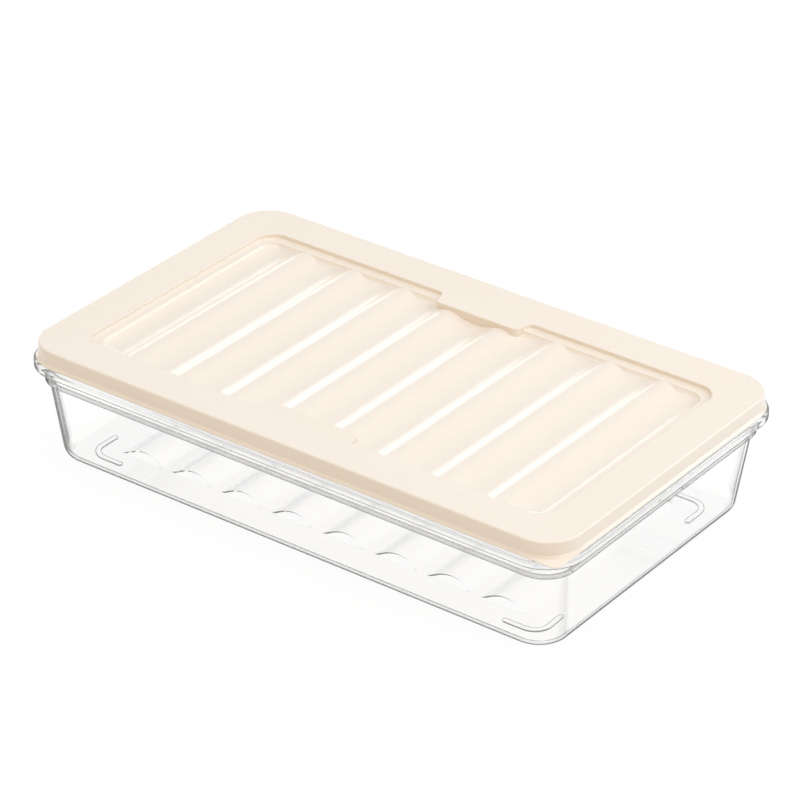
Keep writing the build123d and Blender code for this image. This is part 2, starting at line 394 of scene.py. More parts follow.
# %% Box: ridges over and under the floor
RIDGE_CREST_HALF = 9.4 * MM
RIDGE_FOOT_HALF = 2.8 * MM
RIDGE_HALF_LENGTH = 59.5 * MM
QUAD_SIDES = 4


def lean(rise, half):
    """Sine of the steepest slope of two tangent arcs that climb the rise over the half width."""
    return math.sin(2 * math.atan(rise / half))


def open_floor(height):
    """Takes the one face out of the floor at that height."""
    pick(
        "FACE",
        lambda face: len(face.verts) > QUAD_SIDES and abs(face.calc_center_median().z - height) < NEAR,
    )
    bpy.ops.mesh.delete(type="ONLY_FACE")


open_floor(floor_z + WALL)
open_floor(floor_z)
shrink = WALL * lean(RIDGE_RISE, RIDGE_CREST_HALF + RIDGE_FOOT_HALF)
ridge_sheet(floor_z + WALL, RIDGE_HALF_LENGTH, RIDGE_CREST_HALF, RIDGE_FOOT_HALF)
ridge_sheet(floor_z, RIDGE_HALF_LENGTH - WALL, RIDGE_CREST_HALF - shrink, RIDGE_FOOT_HALF + shrink)
print("box with its ridges:", len(edited().faces), "faces")

# %% [markdown]
# The box stands on four L-shaped beads under its floor. A bead could be swept along a curve; here a strip
# is swung round a quarter turn with the spin tool, run on straight, rounded at both ends and walked down to
# its rounded foot, which keeps its faces in line with the floor. It is mirrored twice and joined to the
# box. Both floors are then filled in round the outlines of the ridges and the feet.

# %% Box: one foot
FOOT_X = 125.9 * MM
FOOT_Y = 67.15 * MM
FOOT_LEG = 17.2 * MM
FOOT_BEND = 8.0 * MM
FOOT_WIDTH = 2.8 * MM
FOOT_ROUND = 0.5 * MM
FOOT_END_ROUND = 1.38 * MM
BEND_STEPS = 10
END_STEPS = 8

bpy.ops.object.mode_set(mode="OBJECT")
leg_run = FOOT_LEG + FOOT_WIDTH / 2 - FOOT_BEND
turn_x = FOOT_X - FOOT_BEND
turn_y = FOOT_Y - FOOT_BEND
start_plan("feet", leg_run / 2, FOOT_WIDTH / 2, floor_z)
bpy.ops.transform.translate(value=(turn_x - leg_run / 2, FOOT_Y, 0))
pick("VERT", lambda vertex: vertex.co.x > turn_x - NEAR)
bpy.ops.mesh.spin(steps=BEND_STEPS, angle=math.pi / 2, center=(turn_x, turn_y, floor_z), axis=(0, 0, 1))
bpy.ops.mesh.extrude_region_move(TRANSFORM_OT_translate={"value": (0, -leg_run, 0)})
end_x = turn_x - leg_run + NEAR
end_y = turn_y - leg_run + NEAR
at_ends = lambda vertex: vertex.co.x < end_x or vertex.co.y < end_y
round_corners(at_ends, FOOT_END_ROUND, segments=END_STEPS)
pick("FACE", every)
bpy.ops.mesh.normals_make_consistent(inside=False)
walk(profile([(0, floor_z, 0), (0, 0, FOOT_ROUND), (FOOT_WIDTH / 2, 0, 0)])[:-1])
print("one foot:", len(edited().faces), "faces")

# %% Box: four feet and both floors


def fill_floor(height):
    """Fills the floor at that height between its rim and the outlines in it."""
    pick(
        "EDGE",
        lambda edge: edge.is_boundary and all(abs(end.co.z - height) < NEAR for end in edge.verts),
    )
    bpy.ops.mesh.fill(use_beauty=True)


for mirror in ((-1, 1, 1), (1, -1, 1)):
    pick("VERT", every)
    bpy.ops.mesh.duplicate()
    bpy.ops.transform.resize(value=mirror, center_override=(0, 0, 0))
bpy.ops.object.mode_set(mode="OBJECT")
box_piece.select_set(True)
bpy.context.view_layer.objects.active = box_piece
bpy.ops.object.join()
bpy.ops.object.mode_set(mode="EDIT")
fill_floor(floor_z + WALL)
fill_floor(floor_z)
pick("FACE", every)
bpy.ops.mesh.remove_doubles(threshold=MERGE)
bpy.ops.mesh.normals_make_consistent(inside=False)
mesh = edited()
print("box:", len(mesh.faces), "faces, open edges:", sum(not edge.is_manifold for edge in mesh.edges))
bpy.ops.object.mode_set(mode="OBJECT")

# %% [markdown]
# The lid starts as the widest band of its lip, a rounded rectangle with one nearly sharp corner to lift it
# by. It is walked over the lip, up the skirt and in over the border, and from below up inside the skirt,
# past the rib that presses on the box. An inset can't reach a ring that lies further out than the one
# before it, so such a step goes straight up or down, and then the corners of the new ring are moved. What
# comes out is a plate with a skirt.

# %% Lid: sizes of its plan and its lip
LID_INSET = 2.35 * MM
SKIRT_HEIGHT = 8.25 * MM
LIP_REACH = 1.2 * MM
LIP_THICKNESS = 0.5 * MM
LIP_ROUND = 0.1 * MM
LIP_GAP = 0.06 * MM
LIFT_CORNER_RADIUS = 3.6 * MM
LIFT_CORNER = ((1, -1),)
BORDER_FALL = 1.0 * MM
BORDER_WIDTH = 19.35 * MM

lid_top_z = rim_z + SKIRT_HEIGHT
recess_edge_z = lid_top_z - BORDER_FALL
lip_inset = LID_INSET - LIP_REACH
lip_half_x = rim_half_x - lip_inset
lip_half_y = rim_half_y - lip_inset
lip_radius = RIM_RADIUS - lip_inset
lip_low_z = rim_z + LIP_GAP
lip_top_z = rim_z + LIP_THICKNESS
recess_half_x = rim_half_x - LID_INSET - BORDER_WIDTH
recess_half_y = rim_half_y - LID_INSET - BORDER_WIDTH


def at_lift_corner(vertex):
    """A test for points of the plan at the front right."""
    return vertex.co.x > 0 > vertex.co.y


lid_piece = start_plan("lid_moulding", lip_half_x, lip_half_y, lip_low_z + LIP_ROUND)
round_corners(lambda vertex: not at_lift_corner(vertex), lip_radius)
round_corners(at_lift_corner, LIFT_CORNER_RADIUS)
pick("FACE", every)
extrude_up(lip_top_z - lip_low_z - 2 * LIP_ROUND)
print("band of the lip:", len(edited().faces), "faces")

# %% Lid: lip, skirt and border
LIP_SLOPE_RISE = 1.2 * MM
LIP_BLEND = 0.3 * MM
LID_TOP_ROUND = 0.9 * MM
BORDER_FLAT = 0.3 * MM
RECESS_RADIUS = 10.2 * MM


def soften_lift_corner(inset):
    """Gives the lift corner the radius of the others from this ring inwards."""
    old = LIFT_CORNER_RADIUS - inset
    reshape_corners(lip_half_x - inset, lip_half_y - inset, old, lip_radius - inset, corners=LIFT_CORNER)


def walk_sideways(here, there, radius=None):
    """Steps to another ring that may lie further out or have other corners."""
    walk([here, Vector((here.x, there.y))])
    inward = there.x - here.x
    new = radius or lip_radius - there.x
    reshape_corners(lip_half_x - here.x, lip_half_y - here.x, lip_radius - here.x, new, inward=inward)


over = profile(
    [
        (0, lip_top_z - LIP_ROUND, 0),
        (0, lip_top_z, LIP_ROUND),
        (LIP_REACH, lip_top_z + LIP_SLOPE_RISE, LIP_BLEND),
        (LIP_REACH, lid_top_z, LID_TOP_ROUND),
        (LIP_REACH + LID_TOP_ROUND + BORDER_FLAT, lid_top_z, 0),
    ]
)
top_of_edge = 1 + arc_steps(LIP_ROUND)
pick("FACE", looks_up)
walk(over[: top_of_edge + 1])
soften_lift_corner(over[top_of_edge].x)
walk(over[top_of_edge:])
walk_sideways(over[-1], Vector((lip_half_x - recess_half_x, recess_edge_z)), RECESS_RADIUS)
print("top of the lid:", len(edited().faces), "faces")

# %% Lid: inside of the skirt with its rib
LID_WALL = 1.6 * MM
SEAL_CLEARANCE = 0.3 * MM
SEAL_RIB_RISE = 2.6 * MM
SEAL_RIB_HEIGHT = 1.2 * MM
SEAL_RIB_ROUND = 0.5 * MM
SEAL_RIB_SLOPE = 0.2 * MM
UNDER_TOP_DROP = 0.08 * MM

rib_inset = BAND_INSET - SEAL_CLEARANCE - lip_inset
inner_inset = LIP_REACH + LID_WALL
rib_low_z = rim_z + SEAL_RIB_RISE
rib_high_z = rib_low_z + SEAL_RIB_HEIGHT
under = profile(
    [
        (0, lip_low_z + LIP_ROUND, 0),
        (0, lip_low_z, LIP_ROUND),
        (inner_inset, lip_low_z, 0),
        (inner_inset, rib_low_z, 0),
        (rib_inset, rib_low_z, SEAL_RIB_ROUND),
        (rib_inset, rib_high_z, 0),
    ]
)
pick("FACE", looks_down)
under_edge = arc_steps(LIP_ROUND)
walk(under[: under_edge + 1])
soften_lift_corner(under[under_edge].x)
walk(under[under_edge:])
rib_end = Vector((rib_inset, rib_high_z))
skirt_inside = Vector((inner_inset, rib_high_z + SEAL_RIB_SLOPE))
skirt_top = Vector((inner_inset, lid_top_z - LID_WALL - UNDER_TOP_DROP))
under_recess = Vector((lip_half_x - recess_half_x, recess_edge_z - LID_WALL))
walk_sideways(rib_end, skirt_inside)
walk([skirt_inside, skirt_top])
walk_sideways(skirt_top, under_recess, RECESS_RADIUS)
bpy.ops.object.mode_set(mode="OBJECT")
print("lid without its panel:", len(lid_piece.data.polygons), "faces")

# %% [markdown]
# The fluted panel in the lid's middle crosses all these rings, so it is made the way a mould maker would:
# as solid blocks that are added and cut away with booleans. A bulge of the wall goes under the panel, then
# the recess is cut, then the flutes. The recess has a plan that steps round two finger tabs. Its rectangle
# is cut across at the roots and tips of the tabs, the strips between are moved in, and the corners are
# rounded. Drawing the plan as a curve would do too, but this way each corner can be picked by its place.

# %% Lid: plan of the recess round its tabs
TAB_DEPTH = 9.3 * MM
TAB_ROOT_HALF = 25.0 * MM
TAB_TIP_HALF = 22.6 * MM
TAB_ROOT_ROUND = 3.0 * MM
TAB_TIP_ROUND = 2.5 * MM
QUARTER_TURN = math.pi / 2

tab_lean = (TAB_ROOT_HALF - TAB_TIP_HALF) / TAB_DEPTH
tab_turn = QUARTER_TURN - math.atan(tab_lean)


def recess_block(name, grow, low_z, high_z):
    """Starts the recess's plan, which steps round the two tabs, grown by some width, as a solid block."""
    side_shift = grow * (tab_lean - math.hypot(1, tab_lean))
    root_x = TAB_ROOT_HALF + side_shift
    tip_x = TAB_TIP_HALF + side_shift
    block = start_plan(name, recess_half_x + grow, recess_half_y + grow, low_z)
    for x in (-root_x, -tip_x, tip_x, root_x):
        pick("FACE", every)
        bpy.ops.mesh.bisect(plane_co=(x, 0, 0), plane_no=(1, 0, 0))
    for side in (1, -1):
        pick("VERT", lambda vertex: abs(vertex.co.x) < tip_x + NEAR and vertex.co.y * side > 0)
        bpy.ops.transform.translate(value=(0, -side * TAB_DEPTH, 0))
    pick("FACE", every)
    bpy.ops.mesh.dissolve_faces()
    for half_x, radius, turn, steps in (
        (recess_half_x + grow, RECESS_RADIUS + grow, QUARTER_TURN, CORNER_STEPS),
        (root_x, TAB_ROOT_ROUND + grow, tab_turn, CORNER_STEPS // 2),
        (tip_x, TAB_TIP_ROUND - grow, tab_turn, CORNER_STEPS // 2),
    ):
        at_corner = lambda vertex: abs(abs(vertex.co.x) - half_x) < NEAR
        round_corners(at_corner, radius, radius * math.tan(turn / 2), steps)
    pick("FACE", every)
    extrude_up(high_z - low_z)
    return block


print("each tab stands", round(TAB_DEPTH / MM, 1), "mm into the recess")

# %% Lid: block of flutes, and helpers for booleans
FLUTE_DEPTH = 2.65 * MM
FLUTE_COUNT = RIDGE_COUNT + 2


def wave_block(name, crest_half, foot_half, base_z, other_z):
    """Makes a solid block between the panel's wave and a flat side at another height."""
    bpy.ops.object.select_all(action="DESELECT")
    columns = FLUTE_COUNT * 2 * COLUMNS_PER_CREST
    bpy.ops.mesh.primitive_grid_add(x_subdivisions=columns, y_subdivisions=1, size=2)
    block = bpy.context.object
    block.name = name
    bpy.ops.object.mode_set(mode="EDIT")
    bpy.ops.transform.resize(value=(WAVE_PITCH * FLUTE_COUNT / 2, rim_half_y, 1))
    extrude_up(other_z - base_z)
    for vertex in edited().verts:
        rise = crest_height(vertex.co.x, crest_half, foot_half, FLUTE_DEPTH, WAVE_PITCH, FLUTE_COUNT)
        vertex.co.z = other_z if vertex.select else base_z + rise
    return block


def end_block():
    """Closes the block's mesh with all its faces outwards, and leaves edit mode."""
    pick("FACE", every)
    bpy.ops.mesh.normals_make_consistent(inside=False)
    bpy.ops.object.mode_set(mode="OBJECT")


def combine(piece, operation, block):
    """Adds, cuts or keeps the common part of a block, and throws the block away."""
    bpy.ops.object.select_all(action="DESELECT")
    bpy.context.view_layer.objects.active = piece
    piece.select_set(True)
    bpy.ops.object.modifier_add(type="BOOLEAN")
    boolean = piece.modifiers[-1]
    boolean.operation = operation
    boolean.object = block
    boolean.solver = "EXACT"
    bpy.ops.object.modifier_apply(modifier=boolean.name)
    bpy.data.meshes.remove(block.data)
    print(piece.name, operation.lower(), "gives", len(piece.data.polygons), "faces")


print("the wave has", FLUTE_COUNT, "crests, one more at each side than the panel shows")

# %% [markdown]
# Under the panel the lid's wall bulges down and follows the flutes at the wall's thickness. The bulge is a
# tray with a wide round at its foot. Only what it has in common with the wave stays, a slab is added that
# carries the ledge, and the whole is trimmed to the recess's plan before the lid takes it on.

# %% Lid: the bulge under the panel
RECESS_STEP = 2.15 * MM
CREST_DROP = 0.1 * MM
SCOOP_DROP = 0.05 * MM
PANEL_INSET = 3.95 * MM
PANEL_RADIUS = 7.7 * MM
FLUTE_VALLEY_HALF = 9.4 * MM
BULGE_ROUND = 5.1 * MM
BULGE_SIDE = 1 * MM
SLAB_SINK = 0.2 * MM
CLEAR_ABOVE = 3 * MM

ledge_z = recess_edge_z - RECESS_STEP
valley_z = ledge_z - CREST_DROP - FLUTE_DEPTH
panel_floor_z = valley_z - SCOOP_DROP
under_z = panel_floor_z - LID_WALL
seat_z = recess_edge_z - LID_WALL / 2
panel_half_x = recess_half_x - PANEL_INSET
panel_half_y = recess_half_y - PANEL_INSET
crest_half = WAVE_PITCH / 2 - FLUTE_VALLEY_HALF
bulge = start_plan("bulge", panel_half_x + LID_WALL, panel_half_y + LID_WALL, lid_top_z)
round_corners(every, PANEL_RADIUS + LID_WALL)
pick("FACE", every)
extrude_up(-BULGE_SIDE)
bulge_side = [
    (0, lid_top_z - BULGE_SIDE, 0),
    (0, under_z, BULGE_ROUND + LID_WALL),
    (FLOOR_FLAT, under_z, 0),
]
walk(profile(bulge_side)[:-1])
end_block()
shift = LID_WALL * lean(FLUTE_DEPTH, WAVE_PITCH / 2)
wave = wave_block("wave", crest_half - shift, FLUTE_VALLEY_HALF + shift, valley_z - LID_WALL, seat_z)
end_block()
combine(bulge, "INTERSECT", wave)
slab_half_x = recess_half_x + 2 * LID_WALL
slab_half_y = recess_half_y + 2 * LID_WALL
slab = start_plan("slab", slab_half_x, slab_half_y, ledge_z - LID_WALL)
pick("FACE", every)
extrude_up(seat_z - SLAB_SINK - ledge_z + LID_WALL)
end_block()
combine(bulge, "UNION", slab)
outline = recess_block("outline", LID_WALL, under_z - CLEAR_ABOVE, lid_top_z)
end_block()
combine(bulge, "INTERSECT", outline)
combine(lid_piece, "UNION", bulge)

# %% Lid: cutting the recess
RECESS_FOOT_ROUND = 0.6 * MM
EDGE_ROUND = 0.4 * MM
EDGE_LIFT = 0.02 * MM

edge_top_z = recess_edge_z + EDGE_LIFT
recess = recess_block("recess", EDGE_ROUND, edge_top_z, lid_top_z + CLEAR_ABOVE)
pick("FACE", looks_down)
recess_side = [
    (0, edge_top_z, 0),
    (EDGE_ROUND, edge_top_z, EDGE_ROUND),
    (EDGE_ROUND, ledge_z, RECESS_FOOT_ROUND),
    (FLOOR_FLAT, ledge_z, 0),
]
walk(profile(recess_side)[:-1])
end_block()
combine(lid_piece, "DIFFERENCE", recess)

# %% [markdown]
# The flutes end all round the panel in a scoop. In the light it shows as a fine line at its edge, a bright
# side and a long soft foot. One round can't give all three, so the scoop is drawn as three arcs that touch:
# a small one over the edge, a close one down the side and a wide one that runs out into the panel.

# %% Lid: three arcs of the scoop
SCOOP_INSET = 3.7 * MM
SCOOP_SIDE_RADIUS = 3.5 * MM
SCOOP_FOOT_RADIUS = 12.0 * MM
SCOOP_FOOT_TURN = math.radians(25)


def arc_points(middle, radius, start, end):
    """Points of an arc between two directions, given as angles."""
    steps = arc_steps(radius)
    angles = [start + (end - start) * step / steps for step in range(steps + 1)]
    return [middle + radius * Vector((math.cos(angle), math.sin(angle))) for angle in angles]


straight_down = 3 * QUARTER_TURN
foot_start = straight_down - SCOOP_FOOT_TURN
foot_shift = Vector((math.sin(SCOOP_FOOT_TURN), math.cos(SCOOP_FOOT_TURN)))
foot_shift *= SCOOP_FOOT_RADIUS - SCOOP_SIDE_RADIUS
foot_middle = Vector((SCOOP_INSET + foot_shift.x, panel_floor_z + SCOOP_FOOT_RADIUS))
side_middle = foot_middle - foot_shift
edge_middle_z = ledge_z + EDGE_LIFT - EDGE_ROUND
edge_rise = side_middle.y - edge_middle_z
edge_away = math.sqrt((SCOOP_SIDE_RADIUS + EDGE_ROUND) ** 2 - edge_rise**2)
edge_middle = Vector((side_middle.x - edge_away, edge_middle_z))
touch = math.atan2(edge_rise, edge_away)
scoop = arc_points(edge_middle, EDGE_ROUND, QUARTER_TURN, touch)
scoop += arc_points(side_middle, SCOOP_SIDE_RADIUS, math.pi + touch, foot_start)[1:]
scoop += arc_points(foot_middle, SCOOP_FOOT_RADIUS, foot_start, straight_down)[1:]
print("scoop from", round(scoop[0].x / MM, 2), "to", round(scoop[-1].x / MM, 2), "mm inside the panel's edge")

# %% Lid: cutting the flutes
edge_inset = scoop[0].x
flutes = start_plan("flutes", panel_half_x - edge_inset, panel_half_y - edge_inset, scoop[0].y)
round_corners(every, PANEL_RADIUS - edge_inset)
pick("FACE", every)
extrude_up(CLEAR_ABOVE)
pick("FACE", looks_down)
walk(scoop)
end_block()
wave = wave_block("wave", crest_half, FLUTE_VALLEY_HALF, valley_z, lid_top_z + CLEAR_ABOVE)
end_block()
combine(flutes, "INTERSECT", wave)
outline = recess_block("outline", 0, under_z, lid_top_z + 2 * CLEAR_ABOVE)
end_block()
combine(flutes, "INTERSECT", outline)
combine(lid_piece, "DIFFERENCE", flutes)

# %% [markdown]
# Both pieces are now closed solids of flat faces. Shading them smooth up to edges of 30 degrees, and then
# letting each corner's normal follow its larger faces, keeps the flat parts flat and the rounds round.

# %% Shade and place both pieces
SMOOTH_ANGLE = math.radians(30)


def finish_piece(piece, body):
    """Shades a piece and ties it to the CAD body that it stands for."""
    bpy.ops.object.select_all(action="DESELECT")
    piece.select_set(True)
    bpy.context.view_layer.objects.active = piece
    bpy.ops.object.mode_set(mode="EDIT")
    pick("FACE", every)
    bpy.ops.mesh.remove_doubles(threshold=MERGE)
    bpy.ops.object.mode_set(mode="OBJECT")
    bpy.ops.object.shade_smooth_by_angle(angle=SMOOTH_ANGLE)
    bpy.ops.object.modifier_add(type="WEIGHTED_NORMAL")
    piece.modifiers[-1].keep_sharp = True
    bpy.ops.object.modifier_apply(modifier=piece.modifiers[-1].name)
    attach(piece, body)
    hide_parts(body)
    print(piece.name, "has", len(piece.data.polygons), "faces and stands for", body)


finish_piece(box_piece, "box")
finish_piece(lid_piece, "lid")

# %% [markdown]
# Materials are small trees of shader nodes. These helpers keep the cells short: each adds one node and
# feeds its sockets, either from another node or with a plain value. A number that is the same all over a
# surface goes on the shader's own socket, so that it survives an export.

# %% Helpers for materials


def start_material(name):
    """A new material with its node tree and Principled shader."""
    material = bpy.data.materials.new(name)
    material.use_nodes = True
    return material, material.node_tree, material.node_tree.nodes["Principled BSDF"]


def feed(tree, source, socket):
    """Links another node's output to a socket, or sets the socket to a plain value."""
    if isinstance(source, bpy.types.NodeSocket):
        tree.links.new(source, socket)
    else:
        socket.default_value = source


def add_node(tree, kind, *sources, **settings):
    """A node of that kind. Sources feed its first sockets, and so does a setting that names a socket."""
    node = tree.nodes.new(kind)
    for name, value in settings.items():
        socket = node.inputs.get(name.replace("_", " "))
        if socket is None:
            setattr(node, name, value)
        else:
            feed(tree, value, socket)
    for source, socket in zip(sources, node.inputs):
        feed(tree, source, socket)
    return node


def noise(tree, place, scale, detail):
    """A cloudy pattern from 0 to 1 over a place, with so many clouds in a metre."""
    return add_node(tree, "ShaderNodeTexNoise", Vector=place, Scale=scale, Detail=detail).outputs["Fac"]


def spread(tree, value, low, high, start=0.0, end=1.0):
    """A value from low to high as another goes from start to end."""
    settings = {"From_Min": start, "From_Max": end, "To_Min": low, "To_Max": high}
    return add_node(tree, "ShaderNodeMapRange", Value=value, **settings).outputs["Result"]


print("helpers for materials")

# %% Helper for blends
# Numbers of a Mix node's sockets for its first value, its second value and its result
MIX_SOCKETS = {"FLOAT": (2, 3, 0), "RGBA": (6, 7, 2)}


def blend(tree, share, first, second, kind="RGBA"):
    """A colour, or a number, from the first to the second as the share goes from 0 to 1."""
    node = add_node(tree, "ShaderNodeMix", share, data_type=kind)
    first_socket, second_socket, result = MIX_SOCKETS[kind]
    feed(tree, first, node.inputs[first_socket])
    feed(tree, second, node.inputs[second_socket])
    return node.outputs[result]


print("blends of", " and ".join(MIX_SOCKETS))

# %% [markdown]
# The lid is opaque cream plastic from a polished mould: even in colour, satin in gloss. A plain colour
# would look like paint, so the colour drifts by a hair over a few centimetres, as pigment does in a
# moulding, the gloss drifts too, and a very shallow fine grain softens the highlights.

# %% Cream lid
CREAM = (0.880, 0.803, 0.712, 1)
CREAM_DEEP = (0.872, 0.789, 0.692, 1)
LID_GLOSSIEST = 0.19
LID_DULLEST = 0.23
DRIFT_SCALE = 18.0
DRIFT_DETAIL = 3.0
GRAIN_SCALE = 2500.0
GRAIN_DETAIL = 2.0
GRAIN_STRENGTH = 0.03
GRAIN_DEPTH = 0.1 * MM

cream, tree, shader = start_material("cream_plastic")
place = add_node(tree, "ShaderNodeTexCoord").outputs["Object"]
drift = noise(tree, place, DRIFT_SCALE, DRIFT_DETAIL)
feed(tree, blend(tree, drift, CREAM, CREAM_DEEP), shader.inputs["Base Color"])
feed(tree, spread(tree, drift, LID_GLOSSIEST, LID_DULLEST), shader.inputs["Roughness"])
grain = noise(tree, place, GRAIN_SCALE, GRAIN_DETAIL)
bump = add_node(tree, "ShaderNodeBump", Strength=GRAIN_STRENGTH, Distance=GRAIN_DEPTH, Height=grain)
feed(tree, bump.outputs["Normal"], shader.inputs["Normal"])
lid_piece.data.materials.append(cream)
print("lid finish:", cream.name)

# %% [markdown]
# The box is clear plastic with real wall thickness, so light bends going in and coming out of every wall.
# The shader needs the plastic's refractive index and a surface that is nearly, not quite, perfect, so its
# roughness drifts between two small values. A thin glass shader without depth would be quicker, but then
# the rim and the ridges would lose their lines. Thick plastic also swallows some light, which the volume
# inside the wall does here.

# %% Clear box: plastic
CLEAR_COLOUR = (0.995, 0.995, 0.993, 1)
PLASTIC_IOR = 1.5
PLASTIC_DENSITY = 14.0
FLOW_SCALE = 30.0
FLOW_DETAIL = 2.0
BOX_GLOSSIEST = 0.01
BOX_DULLEST = 0.03


def grey(level):
    """A neutral colour."""
    return (level, level, level, 1)


clear, tree, shader = start_material("clear_plastic")
shader.inputs["Base Color"].default_value = CLEAR_COLOUR
shader.inputs["Transmission Weight"].default_value = 1.0
shader.inputs["IOR"].default_value = PLASTIC_IOR
coordinates = add_node(tree, "ShaderNodeTexCoord")
place = coordinates.outputs["Object"]
flow = noise(tree, place, FLOW_SCALE, FLOW_DETAIL)
feed(tree, spread(tree, flow, BOX_GLOSSIEST, BOX_DULLEST), shader.inputs["Roughness"])
depth = add_node(tree, "ShaderNodeVolumeAbsorption", Color=grey(0), Density=PLASTIC_DENSITY)
feed(tree, depth.outputs["Volume"], tree.nodes["Material Output"].inputs["Volume"])
box_piece.data.materials.append(clear)
print("box finish:", clear.name)

# %% [markdown]
# The grey at the edges of the box is painted shade: where a round turns away from the eye it is mixed
# with a grey see-through shader. How much is a line through a few places, from facing the eye at 0 to edge
# on at 1. The flat walls are left out, by their normal, since a wall that is seen at a slant would turn grey
# all over. So is the floor with its ridges, whose lines come from the bending of light alone; the feet
# under it keep the painted shade.

# %% Clear box: helpers for its painted shade


def worked_out(tree, operation, first, second):
    """One number made from two others."""
    return add_node(tree, "ShaderNodeMath", first, second, operation=operation).outputs["Value"]


def largest(tree, first, *others):
    """The largest of several numbers."""
    for other in others:
        first = worked_out(tree, "MAXIMUM", first, other)
    return first


def largest_part(tree, vector):
    """The largest of the three parts of a vector."""
    return largest(tree, *add_node(tree, "ShaderNodeSeparateXYZ", vector).outputs)


def sizes_of(tree, vector):
    """A vector with its three parts made positive."""
    return add_node(tree, "ShaderNodeVectorMath", vector, operation="ABSOLUTE").outputs["Vector"]


def stepped(tree, value, places):
    """A number that follows a line through the places, pairs of value and amount."""
    node = add_node(tree, "ShaderNodeValToRGB", value)
    stops = node.color_ramp.elements
    while len(stops) < len(places):
        stops.new(0)
    for stop, (at, amount) in zip(stops, places):
        stop.position = at
        stop.color = grey(amount)
    return node.outputs["Color"]


print("helpers for the grey of clear plastic")

# %% Clear box: painted shade where its rounds turn away
EVEN_BLEND = 0.5
# Painted shade: the grey share at a round, by how far it turns from the eye
PAINTED_EDGE_SHADE_PLACES = ((0.34, 0), (0.46, 0.16), (0.57, 0.19), (0.66, 0.74), (0.72, 0.80))
FLAT_FROM = 0.996
ROUND_FROM = 0.982
FLOOR_REACH_X = rim_half_x - WALL_FOOT_INSET - FLOOR_ROUND
FLOOR_REACH_Y = rim_half_y - WALL_FOOT_INSET - FLOOR_ROUND
FLOOR_FADE = 1 * MM
FOOT_TOP = 1.05 * MM
FOOT_SHARP = 20

turned = add_node(tree, "ShaderNodeLayerWeight", Blend=EVEN_BLEND).outputs["Facing"]
straight = largest_part(tree, sizes_of(tree, coordinates.outputs["Normal"]))
curved = spread(tree, straight, 0, 1, start=FLAT_FROM, end=ROUND_FROM)
floor_scale = (1, 1, -FOOT_SHARP)
floor_shift = (-FLOOR_REACH_X, -FLOOR_REACH_Y, FOOT_SHARP * FOOT_TOP)
past = add_node(
    tree, "ShaderNodeVectorMath", sizes_of(tree, place), floor_scale, floor_shift, operation="MULTIPLY_ADD"
)
off_floor = spread(tree, largest_part(tree, past.outputs["Vector"]), 0, 1, start=-FLOOR_FADE, end=0)
# The painted shade of the rounds, kept off the flat walls and the floor
edge = worked_out(tree, "MULTIPLY", stepped(tree, turned, PAINTED_EDGE_SHADE_PLACES), curved)
edge = worked_out(tree, "MULTIPLY", edge, off_floor)
print("rounds turn grey past", PAINTED_EDGE_SHADE_PLACES[0][0], "of the way from facing to edge on")

# %% [markdown]
# Three places get a painted grey shade, seen from any side: the shoulder where the wall steps in, the
# hollow under the rim, and the sides of the feet. They could be separate materials on their faces, but a
# painted shade by height fades in and out as softly as the real one.

# %% Clear box: painted shade at the shoulder, the rim's hollow and the feet
SHADE_BAND_FROM = shoulder_z - 1.0 * MM
# Painted shade by height: at the shoulder and in the hollow under the rim
PAINTED_BAND_SHADE_PLACES = (
    (shoulder_z - 0.3 * MM, 0),
    (shoulder_z - 0.1 * MM, 0.35),
    (shoulder_z + 1.1 * MM, 0.35),
    (shoulder_z + 1.8 * MM, 0),
    (rim_z - 2.4 * MM, 0),
    (rim_z - 2.1 * MM, 0.15),
    (rim_z - 1.75 * MM, 0.15),
    (rim_z - 1.6 * MM, 0),
)
# Painted shade on the sides of the feet, by height
PAINTED_FOOT_SHADE_PLACES = ((0.1, 0), (0.14, 0.5), (0.85, 0.5), (0.95, 0))

height = add_node(tree, "ShaderNodeSeparateXYZ", place).outputs["Z"]
up_the_band = spread(tree, height, 0, 1, start=SHADE_BAND_FROM, end=rim_z)
band_places = [((at - SHADE_BAND_FROM) / (rim_z - SHADE_BAND_FROM), amount) for at, amount in PAINTED_BAND_SHADE_PLACES]
painted_band_shade = stepped(tree, up_the_band, band_places)
up_the_foot = spread(tree, height, 0, 1, end=floor_z)
painted_foot_shade = stepped(tree, up_the_foot, PAINTED_FOOT_SHADE_PLACES)
print("grey by height from", round(SHADE_BAND_FROM / MM, 1), "to", round(rim_z / MM, 1), "mm, and on the feet")

# %% [markdown]
# The same see-through shader does two more jobs. It lets lamplight fall through the box, so that its shadow
# is a clear thing's pale one. And it lets out light that has been mirrored inside the wall again and again,
# which would otherwise end in black when the renderer stops counting; that light is given a painted warm
# grey, a painted reflection of the cream lid and painted shade. The largest of all the shares wins.

# %% Clear box: put together
# A painted shade grey for the rounds, shoulder, rim hollow and feet, and a painted warm grey for light
# mirrored deep in the wall
PAINTED_SHADE_GREY = grey(0.37)
PAINTED_DEEP_GREY = (0.80, 0.77, 0.75, 1)
LAMP_COLOUR = grey(0.93)
MIRROR_LIMIT = 2.5

ray = add_node(tree, "ShaderNodeLightPath").outputs
deep = worked_out(tree, "GREATER_THAN", ray["Glossy Depth"], MIRROR_LIMIT)
inner = blend(tree, deep, PAINTED_SHADE_GREY, PAINTED_DEEP_GREY)
passing = add_node(
    tree, "ShaderNodeBsdfTransparent", blend(tree, ray["Is Shadow Ray"], inner, LAMP_COLOUR)
)
share = largest(tree, ray["Is Shadow Ray"], deep, edge, painted_band_shade, painted_foot_shade)
both = add_node(tree, "ShaderNodeMixShader", share, shader.outputs["BSDF"], passing.outputs["BSDF"])
feed(tree, both.outputs["Shader"], tree.nodes["Material Output"].inputs["Surface"])
print("clear plastic has", len(tree.nodes), "nodes")

